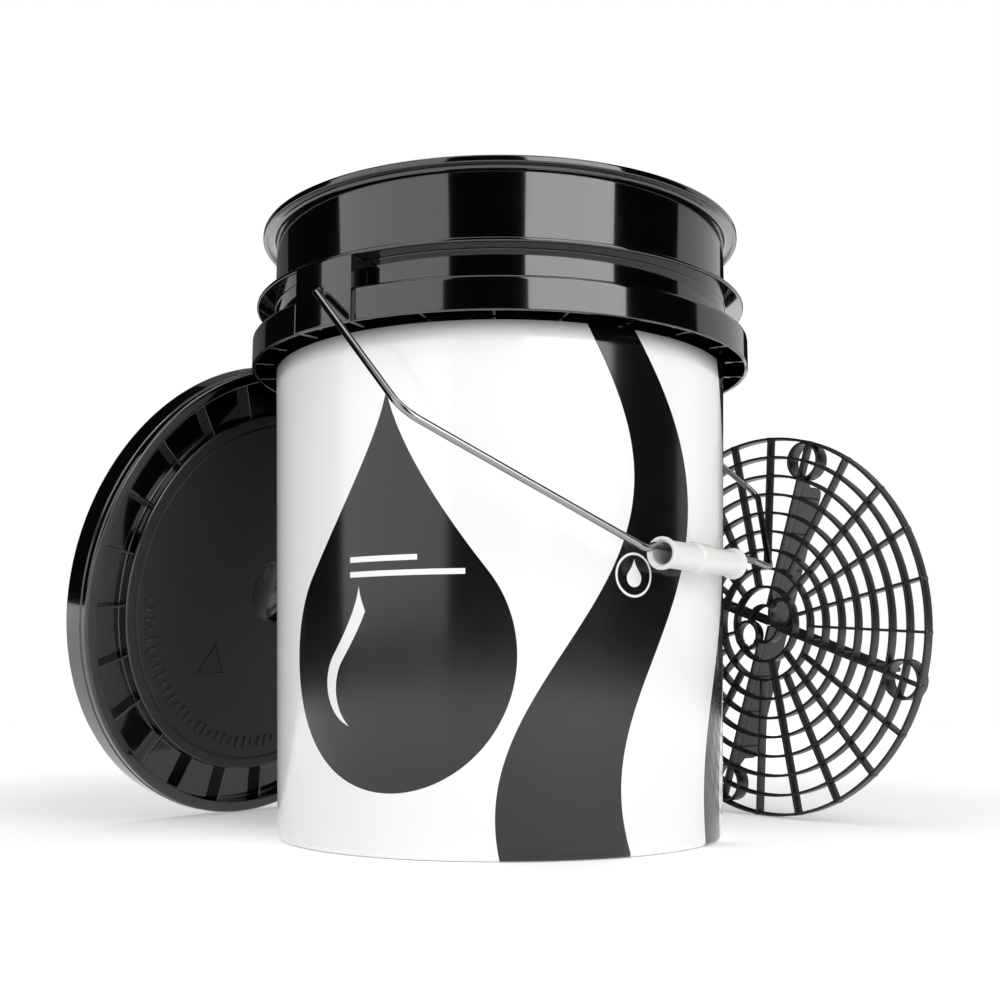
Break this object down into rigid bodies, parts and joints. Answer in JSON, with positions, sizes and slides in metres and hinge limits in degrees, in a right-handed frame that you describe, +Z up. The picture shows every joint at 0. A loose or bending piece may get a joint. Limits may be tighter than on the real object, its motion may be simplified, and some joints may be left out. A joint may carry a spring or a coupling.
{
  "type": "wash bucket",
  "caption": "Round wash bucket with a ribbed collar, printed sleeve, swinging wire bail with a tube grip, and a lid and grit guard standing beside it.",
  "frame": {"origin": "centre of the bucket's base, on the ground", "axes": "+Z up along the bucket's axis, front towards -Y, +X to the right seen from the front"},
  "size_m": [0.5373, 0.4386, 0.369],
  "materials": {
    "bucket_black": "glossy moulded",
    "sleeve_print": "satin printed film",
    "bail_steel": "bright zinc plated",
    "grip_white": "satin moulded",
    "lid_black": "glossy rim, fine-grained panel",
    "gasket_rubber": "matte",
    "guard_black": "satin moulded"
  },
  "bodies": {
    "bucket": {"tub_floor": "bucket_black", "tub_wall": "bucket_black", "stacking_skirt": "bucket_black", "skirt_ribs": "bucket_black", "bail_ear_front": "bucket_black", "bail_ear_rear": "bucket_black", "printed_wrap": "sleeve_print"},
    "bail": {"bail_wire": "bail_steel"},
    "grip": {"grip": "grip_white"},
    "lid": {"lid_panel": "lid_black", "lid_groove": "lid_black", "lid_ribs": "lid_black", "lid_plug": "lid_black", "lid_skirt": "lid_black", "lid_gasket": "gasket_rubber"},
    "guard": {"guard_grid": "guard_black", "guard_fin_1": "guard_black", "guard_fin_2": "guard_black", "guard_fin_3": "guard_black", "guard_fin_4": "guard_black"}
  },
  "joints": [
    {"name": "bail_swing", "type": "hinge", "parent": "bucket", "child": "bail", "pos_m": [0, 0, 0.3015], "axis": [-0.6252, -0.7804, 0], "range_deg": [0, 210]},
    {"name": "grip_spin", "type": "hinge", "parent": "bail", "child": "grip", "pos_m": [0.1093, -0.0991, 0.1575], "axis": [-0.6252, -0.7804, 0], "continuous": true},
    {"name": "lid_lift_away", "type": "slide", "parent": "bucket", "child": "lid", "axis": [-0.809, 0.5878, 0], "range_m": [0, 0.25]},
    {"name": "guard_lift_away", "type": "slide", "parent": "bucket", "child": "guard", "axis": [0.788, 0.6157, 0], "range_m": [0, 0.25]}
  ]
}
